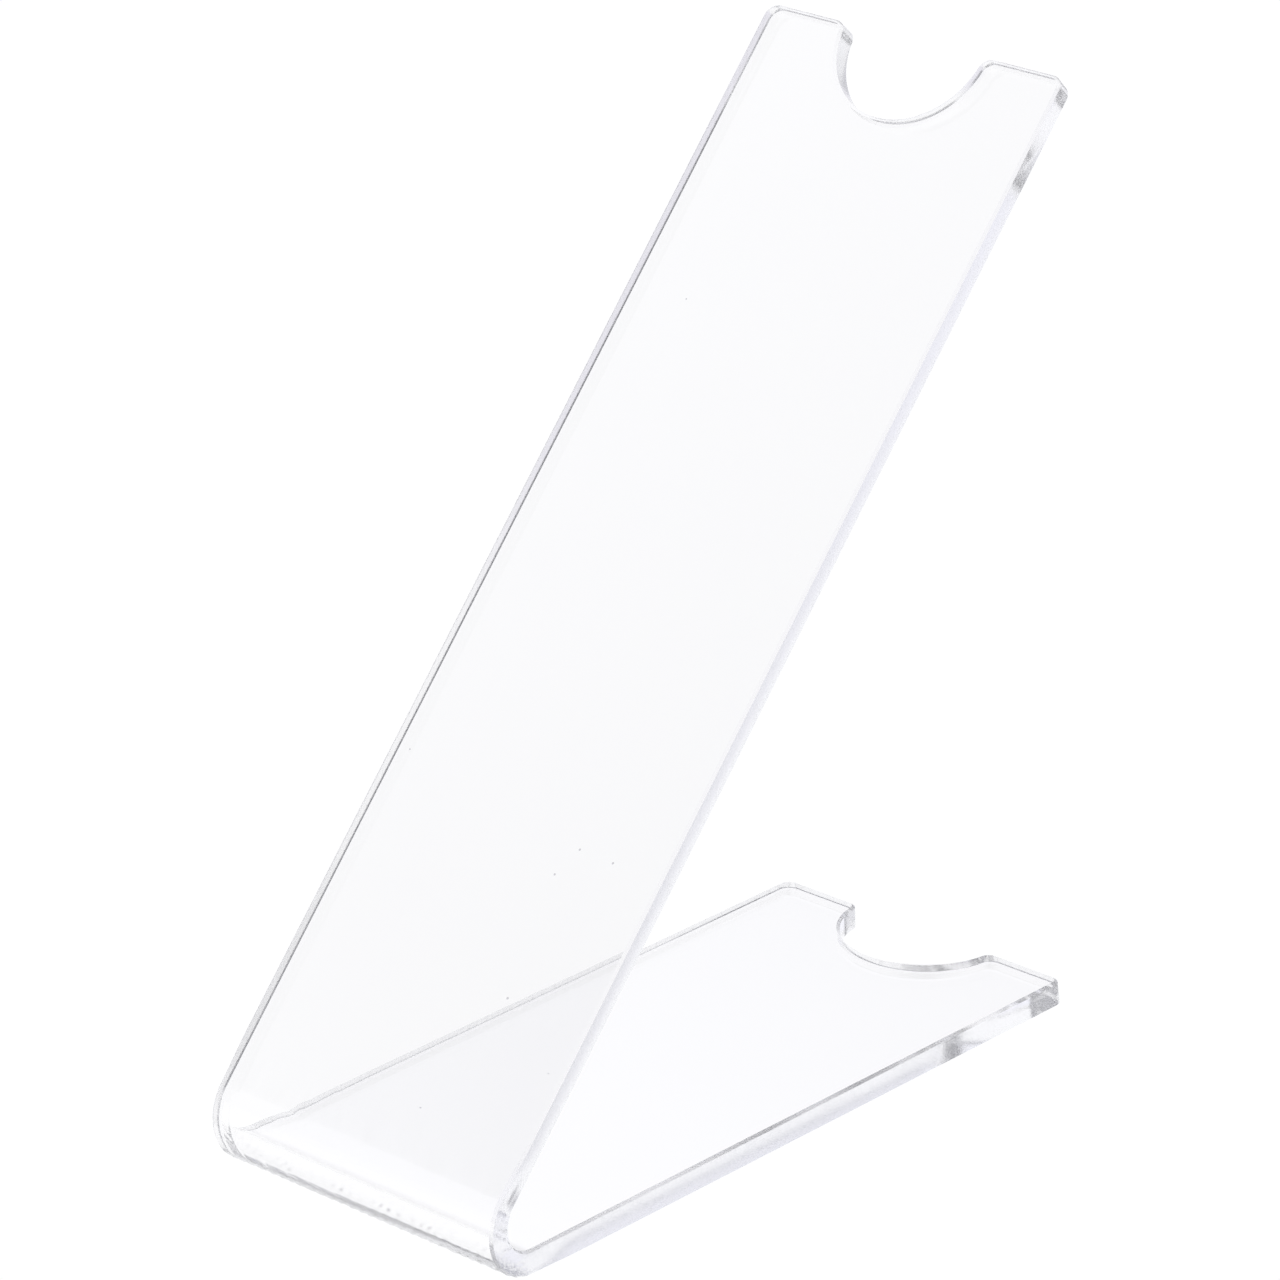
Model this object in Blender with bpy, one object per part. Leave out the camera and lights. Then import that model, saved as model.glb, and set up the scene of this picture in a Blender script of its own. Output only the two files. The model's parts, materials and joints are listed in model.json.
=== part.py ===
"""Plate display stand: one strip of clear acrylic sheet, cut to shape flat and
then folded once along a heated line.

The stand rests on its short leg, the base. The long leg leans back over it, and
its outer face is the display slope. Units are metres, +Z is up, and the slope
faces -Y. The origin is the middle of the bounding box's footprint, on the table.
"""

import bmesh
import bpy
from math import asin, cos, pi, radians, sin, sqrt

# Driving dimensions
STRIP_WIDTH = 0.045          # width of the outer face
SHEET_THICKNESS = 0.0031     # nominal 1/8 inch sheet
BASE_FLAT = 0.0955           # flat length of the base, from the bend to its end
SLOPE_FLAT = 0.1445          # flat length of the display slope
LEG_ANGLE = radians(48.5)    # angle between the two legs
BEND_OUTER_RADIUS = 0.007
NOTCH_RADIUS = 0.0105        # half-round notch in the middle of each end
CORNER_RADIUS = 0.0016       # plan rounding of the corners and of the notch's tips
CUT_LEAN = 0.00045           # how far the +X side of the inner face lies inside the outer's
SCRAPE_WIDTH = 0.0004        # flats scraped along both rims of the cut edge: over the face,
SCRAPE_DEPTH = 0.00026       # and down the edge

# Facets
NOTCH_STEPS = 24
CORNER_STEPS = 6
BEND_STEPS = 19

# Derived sizes
BEND_ANGLE = pi - LEG_ANGLE
BEND_LENGTH = BEND_ANGLE * (BEND_OUTER_RADIUS - SHEET_THICKNESS / 2)
BLANK_LENGTH = SLOPE_FLAT + BEND_LENGTH + BASE_FLAT
FOOTPRINT_MIDDLE = (BASE_FLAT - BEND_OUTER_RADIUS) / 2

OBJECT_NAME = "plate_display_stand"
STRIP_NAME = "bent_acrylic_strip"


def clear_scene():
    for item in list(bpy.data.objects):
        bpy.data.objects.remove(item, do_unlink=True)


def make_collection(name):
    collection = bpy.data.collections.new(name)
    bpy.context.scene.collection.children.link(collection)
    return collection


def clear_acrylic():
    """Water-clear cast acrylic with a very slight cool cast."""
    material = bpy.data.materials.new("clear_acrylic")
    material.use_nodes = True
    shader = material.node_tree.nodes["Principled BSDF"]
    shader.inputs["Base Color"].default_value = (0.95, 0.96, 0.98, 1.0)
    shader.inputs["Roughness"].default_value = 0.02
    shader.inputs["Metallic"].default_value = 0.0
    shader.inputs["IOR"].default_value = 1.49
    shader.inputs["Transmission Weight"].default_value = 1.0
    return material


def arc(centre_x, centre_s, radius, start, end, steps):
    """Points along an arc in the blank's plane, both ends included."""
    angles = [start + (end - start) * step / steps for step in range(steps + 1)]
    return [(centre_x + radius * cos(a), centre_s + radius * sin(a)) for a in angles]


def notched_end(inset):
    """One end of the blank, on s = 0 with the blank on its -s side, drawn in by the inset.

    The points run from the +X corner to the -X corner. The notch's centre lies on
    the end, and each tip beside it is rounded by an arc that touches both the end
    and the notch.
    """
    side = STRIP_WIDTH / 2 - CORNER_RADIUS
    tip_reach = NOTCH_RADIUS + CORNER_RADIUS
    tip_x = sqrt(tip_reach ** 2 - CORNER_RADIUS ** 2)
    tip_angle = asin(CORNER_RADIUS / tip_reach)
    corner = CORNER_RADIUS - inset
    notch = NOTCH_RADIUS + inset
    drop = -CORNER_RADIUS
    points = arc(side, drop, corner, 0, pi / 2, CORNER_STEPS)
    points += arc(tip_x, drop, corner, pi / 2, pi - tip_angle, CORNER_STEPS)
    points += arc(0, 0, notch, -tip_angle, tip_angle - pi, NOTCH_STEPS)[1:-1]
    points += arc(-tip_x, drop, corner, tip_angle, pi / 2, CORNER_STEPS)
    points += arc(-side, drop, corner, pi / 2, pi, CORNER_STEPS)
    return points


def blank_outline(inset):
    """The flat blank, anticlockwise, from the slope's end (s = 0) to the base's."""
    end = notched_end(inset)
    base_end = [(x, BLANK_LENGTH + s) for x, s in end]
    slope_end = [(-x, -s) for x, s in end]
    return base_end + slope_end


def rim(blank, inset, depth):
    """One closed run of edges round the blank; its +X side leans in with the depth."""
    lean = CUT_LEAN * depth / SHEET_THICKNESS
    corners = [
        blank.verts.new((x - lean * (0.5 + x / STRIP_WIDTH), s, depth))
        for x, s in blank_outline(inset)
    ]
    return [blank.edges.new((a, b)) for a, b in zip(corners, corners[1:] + corners[:1])]


def centre_across(blank):
    """Puts the middle of the blank's width on x = 0."""
    across = [vertex.co.x for vertex in blank.verts]
    middle = (min(across) + max(across)) / 2
    bmesh.ops.translate(blank, verts=blank.verts[:], vec=(-middle, 0, 0))


def cut_blank():
    """The flat blank as a solid, with its outer face on h = 0.

    The cut was tilted on the +X side, so the edge leans there and stands square on
    the -X side. Both rims of the edge are scraped to a narrow flat.
    """
    blank = bmesh.new()
    rims = [
        rim(blank, SCRAPE_WIDTH, 0),
        rim(blank, 0, SCRAPE_DEPTH),
        rim(blank, 0, SHEET_THICKNESS - SCRAPE_DEPTH),
        rim(blank, SCRAPE_WIDTH, SHEET_THICKNESS),
    ]
    for upper, lower in zip(rims, rims[1:]):
        bmesh.ops.bridge_loops(blank, edges=upper + lower)
    bmesh.ops.contextual_create(blank, geom=rims[0])
    bmesh.ops.contextual_create(blank, geom=rims[-1])
    bmesh.ops.recalc_face_normals(blank, faces=blank.faces[:])
    centre_across(blank)
    return blank


def score_bend(blank):
    """Cuts across the blank that let the heated zone fold in even steps."""
    for step in range(BEND_STEPS + 1):
        bmesh.ops.bisect_plane(
            blank,
            geom=blank.verts[:] + blank.edges[:] + blank.faces[:],
            dist=1e-7,
            plane_co=(0, SLOPE_FLAT + BEND_LENGTH * step / BEND_STEPS, 0),
            plane_no=(0, 1, 0),
        )


def folded(s, h):
    """Where a point of the blank goes when it is folded: s along it, h deep."""
    radius = BEND_OUTER_RADIUS - h
    past_slope = s - SLOPE_FLAT
    angle = BEND_ANGLE * (1 - min(max(past_slope / BEND_LENGTH, 0), 1))
    y = -radius * sin(angle)
    z = BEND_OUTER_RADIUS - radius * cos(angle)
    if past_slope < 0:
        y -= past_slope * cos(LEG_ANGLE)
        z -= past_slope * sin(LEG_ANGLE)
    if past_slope > BEND_LENGTH:
        y += past_slope - BEND_LENGTH
    return y - FOOTPRINT_MIDDLE, z


def fold(blank):
    for vertex in blank.verts:
        vertex.co.y, vertex.co.z = folded(vertex.co.y, vertex.co.z)
    blank.normal_update()


def build_strip(collection):
    blank = cut_blank()
    score_bend(blank)
    fold(blank)
    mesh = bpy.data.meshes.new(STRIP_NAME)
    blank.to_mesh(mesh)
    blank.free()
    mesh.materials.append(clear_acrylic())
    mesh.shade_smooth()
    mesh.set_sharp_from_angle(angle=radians(20))
    strip = bpy.data.objects.new(STRIP_NAME, mesh)
    collection.objects.link(strip)


def main():
    clear_scene()
    build_strip(make_collection(OBJECT_NAME))


main()
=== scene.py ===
"""Looks of the plate display stand: one strip of clear acrylic sheet, folded once.

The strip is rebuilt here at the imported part's size, with finer facets, the faint
ripples and side swell that the heat of a line bend leaves, and the marks of the
former under the bend.
"""

import json
from math import asin, cos, pi, radians, sin, sqrt

import bmesh
import bpy
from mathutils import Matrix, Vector, noise


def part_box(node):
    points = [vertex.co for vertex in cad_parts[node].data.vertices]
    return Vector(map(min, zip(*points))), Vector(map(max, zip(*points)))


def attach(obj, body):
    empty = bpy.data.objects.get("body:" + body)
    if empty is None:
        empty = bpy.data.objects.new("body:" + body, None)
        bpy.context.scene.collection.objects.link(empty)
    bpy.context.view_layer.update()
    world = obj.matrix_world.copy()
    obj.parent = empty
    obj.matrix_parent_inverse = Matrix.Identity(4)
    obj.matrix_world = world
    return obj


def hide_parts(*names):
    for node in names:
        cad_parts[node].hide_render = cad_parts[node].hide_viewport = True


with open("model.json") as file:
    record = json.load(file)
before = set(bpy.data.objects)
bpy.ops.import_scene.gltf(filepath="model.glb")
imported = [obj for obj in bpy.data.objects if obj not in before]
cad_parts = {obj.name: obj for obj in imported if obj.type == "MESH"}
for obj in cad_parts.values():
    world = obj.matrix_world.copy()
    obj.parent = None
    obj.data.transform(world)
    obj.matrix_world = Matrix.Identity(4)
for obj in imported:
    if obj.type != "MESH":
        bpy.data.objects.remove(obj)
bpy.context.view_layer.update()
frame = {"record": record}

STRIP = "bent_acrylic_strip"
MM = 0.001

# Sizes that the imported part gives
strip_low, strip_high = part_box(STRIP)
slope_mount = next(m for m in frame["record"]["mounts"] if m["name"] == "display_slope")
LEG_ANGLE = asin(-slope_mount["axis"][1])
SHEET_THICKNESS = 3.1 * MM
BEND_OUTER_RADIUS = 7 * MM
CUT_LEAN = 0.45 * MM         # how far the +X side of the inner face lies inside the outer's
SCRAPE_WIDTH = 0.4 * MM      # flats scraped along both rims of the cut edge: over the face,
SCRAPE_DEPTH = 0.26 * MM     # and down the edge
CLEARANCE = 0.002 * MM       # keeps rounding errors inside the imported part's box
STRIP_WIDTH = strip_high.x - strip_low.x + CUT_LEAN * SCRAPE_DEPTH / SHEET_THICKNESS
BASE_FLAT = strip_high.y - strip_low.y - BEND_OUTER_RADIUS - CLEARANCE
SLOPE_RISE = 2 * (slope_mount["pos_m"][2] - BEND_OUTER_RADIUS * (1 + cos(LEG_ANGLE)))
SLOPE_FLAT = SLOPE_RISE / sin(LEG_ANGLE)
FOOTPRINT_MIDDLE = (BASE_FLAT - BEND_OUTER_RADIUS) / 2

# Sizes of the cut outline
NOTCH_RADIUS = 10.5 * MM
CORNER_RADIUS = 1.6 * MM

# The fold
BEND_ANGLE = pi - LEG_ANGLE
BEND_LENGTH = BEND_ANGLE * (BEND_OUTER_RADIUS - SHEET_THICKNESS / 2)
BLANK_LENGTH = SLOPE_FLAT + BEND_LENGTH + BASE_FLAT
WARM_REACH = 7 * MM          # how far the heat softened the flats beside the bend
RIPPLE_DEPTH = 0.03 * MM
DRAG_DEPTH = 0.22 * MM      # slanting marks under the bend, where it lay on the former
DRAG_PITCH = 1.6 * MM
DRAG_MIDDLE = 0.80           # where they lie round the bend, from the slope (0) to the base (1)
DRAG_REACH = 0.30
SWELL = 0.2 * MM             # the inside of the bend bulges sideways by this much
SWELL_REACH = 4 * MM

# Facets
NOTCH_STEPS = 96
CORNER_STEPS = 14
BEND_STEPS = 56
WARM_STEPS = 14
WIDTH_STEPS = 150
SIDE_MARGIN = 1 * MM         # the bend's fine grid stops this far from the cut edges
SHARP_ANGLE = radians(12)

# Surfaces
ACRYLIC_IOR = 1.49
DUST_CELLS = 100             # per metre
DUST_SIZE = 0.016            # radius of a grain, as a share of its cell

# Table: a strip of painted shade and then its end, painted dark, both in metres to the right of
# the stand
TABLE_RADIUS = 5
TABLE_DROP = 0.2 * MM        # keeps the table clear of the underside
TABLE_RIGHT = 42
TABLE_PAINTED_SHADE = (0.11, 0.17)
TABLE_END = (0.5, 0.7)

# Surroundings: bearings in degrees from +X towards +Y, heights in degrees over level.
# Each edge is soft, and is given as the cosine of the angle off the area's middle.
WALL_BEARING = 140
WALL_EDGE = (0.05, 0.35)
BRIGHT_BEARING, BRIGHT_HEIGHT = 200, 40
BRIGHT_EDGE = (0.35, 0.62)
CARD_BEARING = 240
CARD_EDGE = (0.62, 0.45)
CARD_TOP = (0.52, 0.60)      # sine of the height
DOORWAY_BEARING = 340
DOORWAY_EDGE = (0.90, 0.935)
UPPER_BEARING, UPPER_HEIGHT = 20, 42
UPPER_EDGE = (0.78, 0.9)
LAMP_BEARING, LAMP_HEIGHT = 60, 70
LAMP_EDGE = (0.75, 0.92)

# Linear brightness
# The table's painted glow round the stand, and its painted shade further right
FLOOR_WHITE = (1.015, 1.015, 1.025)
FLOOR_PAINTED_SHADE = (0.87, 0.86, 0.92)
DARK_ROOM = (0.01, 0.01, 0.015)
WALL_DIM = (0.40, 0.40, 0.47)
WALL_BRIGHT = (0.97, 0.97, 1.03)
CARD = (0.80, 0.80, 0.83)
DOORWAY = (0.40, 0.40, 0.42)
UPPER_ROOM = (0.35, 0.35, 0.38)
LAMP = (0.82, 0.82, 0.86)

# View
VIEW_AZIMUTH = radians(42.04)
VIEW_ELEVATION = radians(22.352)
VIEW_DISTANCE = 0.7473
VIEW_AIM = Vector((-0.0002, -0.00155, 0.05810))
VIEW_LENS = 181.2
LIGHT_BOUNCES = 40           # light runs a long way inside the clear sheet


def arc(centre_x, centre_s, radius, start, end, steps):
    """Points along an arc in the blank's plane, both ends included."""
    angles = [start + (end - start) * step / steps for step in range(steps + 1)]
    return [(centre_x + radius * cos(a), centre_s + radius * sin(a)) for a in angles]


def notched_end(inset):
    """One end of the blank, on s = 0 with the blank on its -s side, drawn in by the inset."""
    side = STRIP_WIDTH / 2 - CORNER_RADIUS
    tip_reach = NOTCH_RADIUS + CORNER_RADIUS
    tip_x = sqrt(tip_reach ** 2 - CORNER_RADIUS ** 2)
    tip_angle = asin(CORNER_RADIUS / tip_reach)
    corner = CORNER_RADIUS - inset
    notch = NOTCH_RADIUS + inset
    drop = -CORNER_RADIUS
    points = arc(side, drop, corner, 0, pi / 2, CORNER_STEPS)
    points += arc(tip_x, drop, corner, pi / 2, pi - tip_angle, CORNER_STEPS)
    points += arc(0, 0, notch, -tip_angle, tip_angle - pi, NOTCH_STEPS)[1:-1]
    points += arc(-tip_x, drop, corner, tip_angle, pi / 2, CORNER_STEPS)
    points += arc(-side, drop, corner, pi / 2, pi, CORNER_STEPS)
    return points


def rim(blank, inset, depth):
    """One ring of points round the blank; its +X side leans in with the depth."""
    end = notched_end(inset)
    outline = [(x, BLANK_LENGTH + s) for x, s in end] + [(-x, -s) for x, s in end]
    lean = CUT_LEAN * depth / SHEET_THICKNESS
    return [
        blank.verts.new((x - lean * (0.5 + x / STRIP_WIDTH), s, depth))
        for x, s in outline
    ]


def centre_across(blank):
    """Puts the middle of the blank's width on x = 0."""
    across = [vertex.co.x for vertex in blank.verts]
    middle = (min(across) + max(across)) / 2
    bmesh.ops.translate(blank, verts=blank.verts[:], vec=(-middle, 0, 0))


def cut_blank():
    """The flat blank as a solid: outer face on h = 0, cut edge leaning on +X, rims scraped."""
    blank = bmesh.new()
    rims = [
        rim(blank, SCRAPE_WIDTH, 0),
        rim(blank, 0, SCRAPE_DEPTH),
        rim(blank, 0, SHEET_THICKNESS - SCRAPE_DEPTH),
        rim(blank, SCRAPE_WIDTH, SHEET_THICKNESS),
    ]
    blank.faces.new(rims[0])
    blank.faces.new(rims[-1])
    for upper, lower in zip(rims, rims[1:]):
        for k in range(len(upper)):
            blank.faces.new((upper[k - 1], upper[k], lower[k], lower[k - 1]))
    bmesh.ops.recalc_face_normals(blank, faces=blank.faces[:])
    centre_across(blank)
    blank.normal_update()
    for face in blank.faces:
        facing = abs(face.normal.z)
        face.material_index = 0 if facing > 0.9999 else 1 if facing < 0.5 else 2
    return blank


def split(blank, faces, point, normal):
    """Cuts some of the blank's faces along a plane."""
    edges = {e for f in faces for e in f.edges}
    verts = {v for f in faces for v in f.verts}
    bmesh.ops.bisect_plane(
        blank,
        geom=list(verts) + list(edges) + list(faces),
        dist=1e-7,
        plane_co=point,
        plane_no=normal,
    )


def evenly(start, end, steps):
    return [start + (end - start) * step / steps for step in range(steps + 1)]


def refine_bend(blank):
    """Gives the bend and the warm strips beside it a fine grid of faces."""
    bend_start, bend_end = SLOPE_FLAT, SLOPE_FLAT + BEND_LENGTH
    stations = evenly(bend_start - WARM_REACH, bend_start, WARM_STEPS)
    stations += evenly(bend_start, bend_end, BEND_STEPS)[1:]
    stations += evenly(bend_end, bend_end + WARM_REACH, WARM_STEPS)[1:]
    for s in stations:
        split(blank, blank.faces[:], (0, s, 0), (0, 1, 0))
    half = STRIP_WIDTH / 2 - SIDE_MARGIN
    for x in evenly(-half, half, WIDTH_STEPS):
        warm = [
            f
            for f in blank.faces
            if stations[0] < f.calc_center_median().y < stations[-1]
        ]
        split(blank, warm, (x, 0, 0), (1, 0, 0))


def smoothstep(value):
    value = min(max(value, 0), 1)
    return value * value * (3 - 2 * value)


def warmth(s):
    """1 in the bend, fading to 0 where the sheet stayed cold."""
    outside = max(SLOPE_FLAT - s, s - SLOPE_FLAT - BEND_LENGTH, 0)
    return smoothstep(1 - outside / WARM_REACH)


def ripple(x, s, seed):
    """How deep the heat's ripples dent a face, 0 to RIPPLE_DEPTH."""
    coarse = noise.noise(Vector((x / (3.2 * MM), s / (4 * MM), seed)))
    fine = noise.noise(Vector((x / (1.1 * MM), s / (2.5 * MM), seed + 7)))
    return RIPPLE_DEPTH * warmth(s) * (0.5 + 0.35 * coarse + 0.15 * fine)


def drag_mark(x, s):
    """How deep the former's marks dent the underside of the bend, 0 to DRAG_DEPTH."""
    round_bend = (s - SLOPE_FLAT) / BEND_LENGTH
    reach = smoothstep(1 - abs(round_bend - DRAG_MIDDLE) / DRAG_REACH)
    warp = noise.noise(Vector((x / (4 * MM), s / (3 * MM), 11)))
    strength = 0.55 + 0.45 * noise.noise(Vector((x / (6 * MM), 0, 5)))
    wave = 0.5 + 0.5 * sin(2 * pi * (x + 0.9 * s) / DRAG_PITCH + 4 * warp)
    return DRAG_DEPTH * reach * strength * wave


def soften(x, s, h):
    """Moves a point of the blank as the heat of the bend does."""
    depth = h / SHEET_THICKNESS
    near_side = smoothstep(1 - (STRIP_WIDTH / 2 - abs(x)) / SWELL_REACH)
    swell = -SWELL * near_side * warmth(s) * (1 - depth)
    x += swell if x > 0 else -swell
    h += (ripple(x, s, 1) + drag_mark(x, s)) * (1 - depth) - ripple(x, s, 3) * depth
    return x, s, h


def folded(s, h):
    """Where a point of the blank goes when it is folded: s along it, h deep."""
    radius = BEND_OUTER_RADIUS - h
    past_slope = s - SLOPE_FLAT
    angle = BEND_ANGLE * (1 - min(max(past_slope / BEND_LENGTH, 0), 1))
    y = -radius * sin(angle)
    z = BEND_OUTER_RADIUS - radius * cos(angle)
    if past_slope < 0:
        y -= past_slope * cos(LEG_ANGLE)
        z -= past_slope * sin(LEG_ANGLE)
    if past_slope > BEND_LENGTH:
        y += past_slope - BEND_LENGTH
    return y - FOOTPRINT_MIDDLE, z


def build_strip():
    blank = cut_blank()
    refine_bend(blank)
    for vertex in blank.verts:
        x, s, h = soften(*vertex.co)
        vertex.co = (x, *folded(s, h))
    blank.normal_update()
    mesh = bpy.data.meshes.new("acrylic_stand")
    blank.to_mesh(mesh)
    blank.free()
    mesh.shade_smooth()
    mesh.set_sharp_from_angle(angle=SHARP_ANGLE)
    strip = bpy.data.objects.new("acrylic_stand", mesh)
    bpy.context.scene.collection.objects.link(strip)
    return strip


def acrylic(name):
    """A clear acrylic material, and the sockets that its own details are linked to."""
    material = bpy.data.materials.new(name)
    material.use_nodes = True
    shader = material.node_tree.nodes["Principled BSDF"]
    shader.inputs["IOR"].default_value = ACRYLIC_IOR
    shader.inputs["Transmission Weight"].default_value = 1
    return material, material.node_tree.nodes, material.node_tree.links, shader


def streaks(nodes, links, stretch, detail=3):
    """Noise over the sheet, finer along the axes with the larger stretch (per metre)."""
    where = nodes.new("ShaderNodeTexCoord").outputs["Object"]
    mapping = nodes.new("ShaderNodeMapping")
    mapping.inputs["Scale"].default_value = stretch
    links.new(where, mapping.inputs["Vector"])
    pattern = nodes.new("ShaderNodeTexNoise")
    pattern.inputs["Scale"].default_value = 1
    pattern.inputs["Detail"].default_value = detail
    links.new(mapping.outputs["Vector"], pattern.inputs["Vector"])
    return pattern.outputs["Fac"]


def spread(nodes, links, value, low, high):
    """Takes a noise value to the range from low to high."""
    scale = nodes.new("ShaderNodeMapRange")
    scale.inputs["From Min"].default_value = 0.3
    scale.inputs["From Max"].default_value = 0.7
    scale.inputs["To Min"].default_value = low
    scale.inputs["To Max"].default_value = high
    links.new(value, scale.inputs["Value"])
    return scale.outputs["Result"]


def roughen(nodes, links, shader, height, depth):
    """Relief in the surface, as deep as the height says."""
    bump = nodes.new("ShaderNodeBump")
    bump.inputs["Strength"].default_value = 1
    bump.inputs["Distance"].default_value = depth
    links.new(height, bump.inputs["Height"])
    links.new(bump.outputs["Normal"], shader.inputs["Normal"])


def specks(nodes, links):
    """1 on a few grains of dust, 0 elsewhere."""
    where = nodes.new("ShaderNodeTexCoord").outputs["Object"]
    grains = nodes.new("ShaderNodeTexVoronoi")
    grains.inputs["Scale"].default_value = DUST_CELLS
    links.new(where, grains.inputs["Vector"])
    size = nodes.new("ShaderNodeMath")
    size.operation = "LESS_THAN"
    size.inputs[1].default_value = DUST_SIZE
    links.new(grains.outputs["Distance"], size.inputs[0])
    return size.outputs["Value"]


def clear_acrylic():
    """The polished faces: glassy, with faint wipe marks and a few grains of dust."""
    material, nodes, links, shader = acrylic("clear_acrylic")
    haze = streaks(nodes, links, (60, 60, 60))
    tint = blend(nodes, links, haze, (0.990, 0.990, 0.994), (1.0, 1.0, 1.0))
    tint = blend(nodes, links, specks(nodes, links), tint, (0.45, 0.45, 0.48))
    links.new(tint, shader.inputs["Base Color"])
    wiped = streaks(nodes, links, (900, 120, 120))
    links.new(spread(nodes, links, wiped, 0, 0.03), shader.inputs["Roughness"])
    roughen(nodes, links, shader, haze, 0.001 * MM)
    return material


def cut_edge():
    """The cut itself: polished, with the cutter's fine marks through the thickness."""
    material, nodes, links, shader = acrylic("cut_edge")
    marks = streaks(nodes, links, (3200, 3200, 260))
    tint = blend(nodes, links, marks, (0.955, 0.96, 0.985), (0.985, 0.985, 1.0))
    links.new(tint, shader.inputs["Base Color"])
    links.new(spread(nodes, links, marks, 0.10, 0.22), shader.inputs["Roughness"])
    roughen(nodes, links, shader, marks, 0.001 * MM)
    return material


def scraped_edge():
    """The scraped flats: slightly matte, with scratches along them."""
    material, nodes, links, shader = acrylic("scraped_edge")
    scratches = streaks(nodes, links, (2600, 240, 2600))
    tint = blend(nodes, links, scratches, (0.96, 0.96, 0.985), (1.0, 1.0, 1.0))
    links.new(tint, shader.inputs["Base Color"])
    links.new(spread(nodes, links, scratches, 0.16, 0.28), shader.inputs["Roughness"])
    roughen(nodes, links, shader, scratches, 0.0004 * MM)
    return material


def across_edge(nodes, links, value, start, end):
    """0 before the start and 1 past the end, with a soft step between."""
    step = nodes.new("ShaderNodeMapRange")
    step.interpolation_type = "SMOOTHSTEP"
    step.inputs["From Min"].default_value = start
    step.inputs["From Max"].default_value = end
    links.new(value, step.inputs["Value"])
    return step.outputs["Result"]


def along(nodes, links, vector, direction):
    """How far a vector reaches in a direction."""
    dot = nodes.new("ShaderNodeVectorMath")
    dot.operation = "DOT_PRODUCT"
    dot.inputs[1].default_value = direction
    links.new(vector, dot.inputs[0])
    return dot.outputs["Value"]


def blend(nodes, links, share, first, second):
    """A colour that goes from the first to the second as the share goes from 0 to 1."""
    mix = nodes.new("ShaderNodeMix")
    mix.data_type = "RGBA"
    links.new(share, mix.inputs[0])
    for socket, colour in ((mix.inputs[6], first), (mix.inputs[7], second)):
        if isinstance(colour, tuple):
            socket.default_value = (*colour, 1)
        else:
            links.new(colour, socket)
    return mix.outputs[2]


def compass(bearing, height=0):
    """The direction at a bearing from +X towards +Y and a height over level, in degrees."""
    bearing, height = radians(bearing), radians(height)
    return (cos(bearing) * cos(height), sin(bearing) * cos(height), sin(height))


def white_floor():
    """A glowing white table of painted light, brightest round the stand, with painted shade to
    the right, that ends on the right in the dark room, painted dark.
    """
    bpy.ops.mesh.primitive_circle_add(
        vertices=96,
        radius=TABLE_RADIUS,
        fill_type="NGON",
        location=(0, 0, -TABLE_DROP),
    )
    floor = bpy.context.object
    floor.name = "floor"
    material = bpy.data.materials.new("table_painted_light_and_shade")
    material.use_nodes = True
    nodes = material.node_tree.nodes
    links = material.node_tree.links
    nodes.clear()
    output = nodes.new("ShaderNodeOutputMaterial")
    # The table glows: painted light round the stand, painted shade in a strip to the right,
    # painted dark past its end
    glow = nodes.new("ShaderNodeEmission")
    where = nodes.new("ShaderNodeTexCoord").outputs["Object"]
    to_right = along(nodes, links, where, compass(TABLE_RIGHT))
    painted_shade = across_edge(nodes, links, to_right, *TABLE_PAINTED_SHADE)
    colour = blend(nodes, links, painted_shade, FLOOR_WHITE, FLOOR_PAINTED_SHADE)
    past_end = across_edge(nodes, links, to_right, *TABLE_END)
    colour = blend(nodes, links, past_end, colour, DARK_ROOM)
    links.new(colour, glow.inputs["Color"])
    links.new(glow.outputs["Emission"], output.inputs["Surface"])
    floor.data.materials.append(material)


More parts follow.
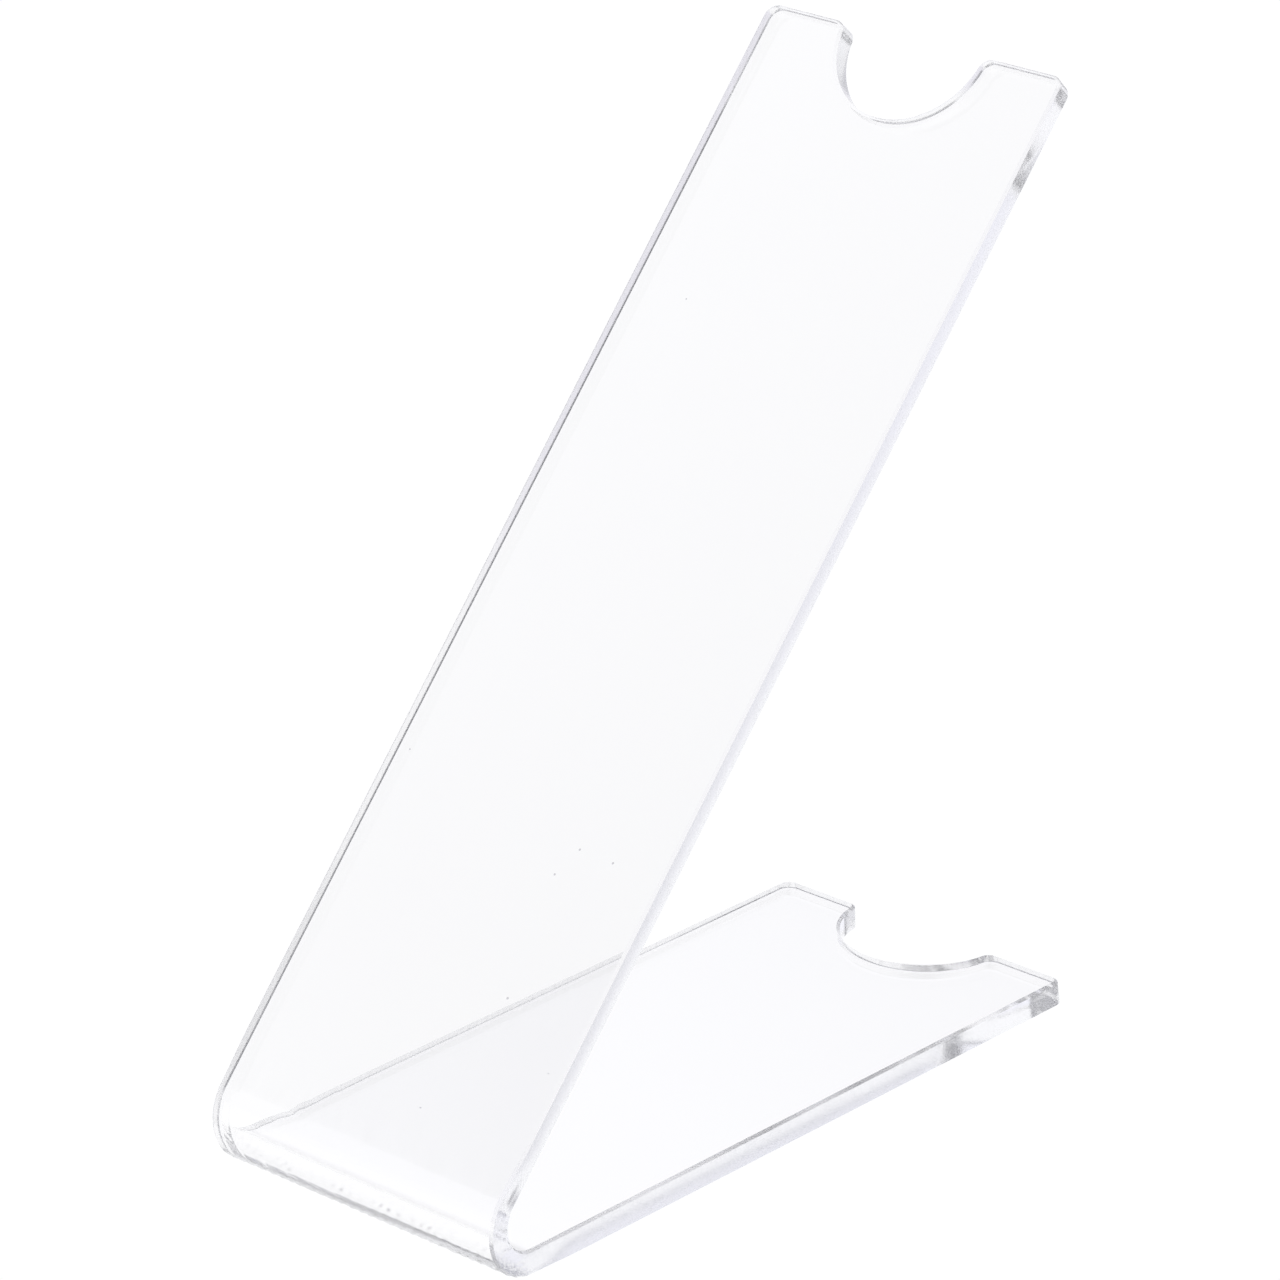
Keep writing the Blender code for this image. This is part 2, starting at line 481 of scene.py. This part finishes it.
def studio_world():
    """A dark room with a pale wall behind the stand, a white card low on the left, a
    dim doorway on the right and a soft lamp high over the back."""
    world = bpy.data.worlds.new("soft_studio")
    bpy.context.scene.world = world
    world.use_nodes = True
    nodes = world.node_tree.nodes
    links = world.node_tree.links
    towards = nodes.new("ShaderNodeTexCoord").outputs["Generated"]
    upward = along(nodes, links, towards, (0, 0, 1))
    to_wall = along(nodes, links, towards, compass(WALL_BEARING))
    on_wall = across_edge(nodes, links, to_wall, *WALL_EDGE)
    to_bright_end = along(nodes, links, towards, compass(BRIGHT_BEARING, BRIGHT_HEIGHT))
    brightening = across_edge(nodes, links, to_bright_end, *BRIGHT_EDGE)
    wall = blend(nodes, links, brightening, WALL_DIM, WALL_BRIGHT)
    colour = blend(nodes, links, on_wall, DARK_ROOM, wall)
    to_card = along(nodes, links, towards, compass(CARD_BEARING))
    beside_card = across_edge(nodes, links, to_card, *CARD_EDGE)
    with_card = blend(nodes, links, beside_card, CARD, colour)
    above_card = across_edge(nodes, links, upward, *CARD_TOP)
    colour = blend(nodes, links, above_card, with_card, colour)
    to_doorway = along(nodes, links, towards, compass(DOORWAY_BEARING))
    in_doorway = across_edge(nodes, links, to_doorway, *DOORWAY_EDGE)
    colour = blend(nodes, links, in_doorway, colour, DOORWAY)
    to_upper = along(nodes, links, towards, compass(UPPER_BEARING, UPPER_HEIGHT))
    in_upper = across_edge(nodes, links, to_upper, *UPPER_EDGE)
    colour = blend(nodes, links, in_upper, colour, UPPER_ROOM)
    to_lamp = along(nodes, links, towards, compass(LAMP_BEARING, LAMP_HEIGHT))
    on_lamp = across_edge(nodes, links, to_lamp, *LAMP_EDGE)
    colour = blend(nodes, links, on_lamp, colour, LAMP)
    links.new(colour, nodes["Background"].inputs["Color"])


def add_camera():
    camera = bpy.data.objects.new("camera", bpy.data.cameras.new("camera"))
    bpy.context.scene.collection.objects.link(camera)
    bpy.context.scene.camera = camera
    back = Vector((
        sin(VIEW_AZIMUTH) * cos(VIEW_ELEVATION),
        -cos(VIEW_AZIMUTH) * cos(VIEW_ELEVATION),
        sin(VIEW_ELEVATION),
    ))
    camera.data.lens = VIEW_LENS
    camera.data.sensor_width = 36
    camera.data.clip_start = 0.01
    camera.location = VIEW_AIM + VIEW_DISTANCE * back
    camera.rotation_mode = "QUATERNION"
    camera.rotation_quaternion = (-back).to_track_quat("-Z", "Y")


strip = build_strip()
strip.data.materials.append(clear_acrylic())
strip.data.materials.append(cut_edge())
strip.data.materials.append(scraped_edge())
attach(strip, "root")
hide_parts(STRIP)
white_floor()
studio_world()
add_camera()

scene = bpy.context.scene
scene.view_settings.view_transform = "Standard"
scene.cycles.max_bounces = LIGHT_BOUNCES
scene.cycles.glossy_bounces = LIGHT_BOUNCES
scene.cycles.transmission_bounces = LIGHT_BOUNCES
